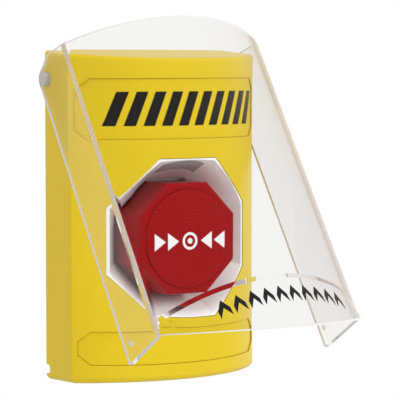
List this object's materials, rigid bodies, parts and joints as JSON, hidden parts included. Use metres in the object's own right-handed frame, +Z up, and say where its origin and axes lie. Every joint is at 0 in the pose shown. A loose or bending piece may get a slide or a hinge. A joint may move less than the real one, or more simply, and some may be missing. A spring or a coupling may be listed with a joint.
{
  "type": "emergency push button",
  "caption": "Bow-fronted wall-mounted emergency push button: octagonal red button in a white dish, sunk label panels and a lift-up clear guard cover.",
  "frame": {"origin": "centre of the two wall-box screw holes, on the back plate's back face, in the wall's plane", "axes": "+X to the right as seen from the front, +Y into the wall, +Z up; the button is pressed along +Y"},
  "size_m": [0.0868, 0.1233, 0.1346],
  "materials": {
    "yellow_shell": "fine satin moulding",
    "yellow_label": "smooth printed plate",
    "white_shell": "smooth moulding",
    "red_button": "glossy moulding",
    "lens": "clear smoked plastic",
    "clear_cover": "polished clear polycarbonate",
    "black_plastic": "matt moulding",
    "grey_plastic": "matt moulding",
    "pin_plastic": "smooth turned pin",
    "circuit_board": "coated board",
    "lamp": "milky clear lamp",
    "steel_screws": "zinc-plated steel",
    "spring_steel": "drawn spring wire",
    "brass_contacts": "stamped strip"
  },
  "bodies": {
    "base": {"housing": "yellow_shell", "upper_label": "yellow_label", "lower_label": "yellow_label", "bezel_dish": "white_shell", "status_lens": "lens", "lamp_board": "circuit_board", "status_lamp": "lamp", "bezel_screws": "steel_screws", "operator_sleeve": "black_plastic", "sleeve_nut": "black_plastic", "return_spring": "spring_steel", "contact_carrier": "black_plastic", "carrier_screws": "steel_screws", "contact_block_left": "grey_plastic", "contact_block_right": "grey_plastic", "contact_spring_left": "spring_steel", "contact_spring_right": "spring_steel", "fixed_contacts_left": "brass_contacts", "fixed_contacts_right": "brass_contacts", "terminal_screws": "steel_screws", "back_plate": "grey_plastic", "lock_screw": "steel_screws"},
    "cover": {"cover": "clear_cover", "hinge_pin_left": "pin_plastic", "hinge_pin_right": "pin_plastic"},
    "button": {"button_cap": "red_button", "button_face": "red_button", "button_stem": "black_plastic", "stem_screw": "steel_screws"},
    "contact_left": {"plunger_left": "white_shell", "contact_bridge_left": "brass_contacts"},
    "contact_right": {"plunger_right": "white_shell", "contact_bridge_right": "brass_contacts"}
  },
  "joints": [
    {"name": "cover_hinge", "type": "hinge", "parent": "base", "child": "cover", "pos_m": [0, -0.004, 0.0505], "axis": [-1, 0, 0], "range_deg": [-33.2, 38]},
    {"name": "button_press", "type": "slide", "parent": "base", "child": "button", "axis": [0, 1, 0], "range_m": [0, 0.004], "stiffness_N_per_m": 600, "springref_m": -0.004, "deforming": ["return_spring"]},
    {"name": "contact_left_slide", "type": "slide", "parent": "base", "child": "contact_left", "axis": [0, 1, 0], "range_m": [0, 0.004], "deforming": ["contact_spring_left"]},
    {"name": "contact_right_slide", "type": "slide", "parent": "base", "child": "contact_right", "axis": [0, 1, 0], "range_m": [0, 0.004], "deforming": ["contact_spring_right"]}
  ],
  "couplings": [
    {"joint": "contact_left_slide", "follows": "button_press", "ratio": 1},
    {"joint": "contact_right_slide", "follows": "button_press", "ratio": 1}
  ]
}
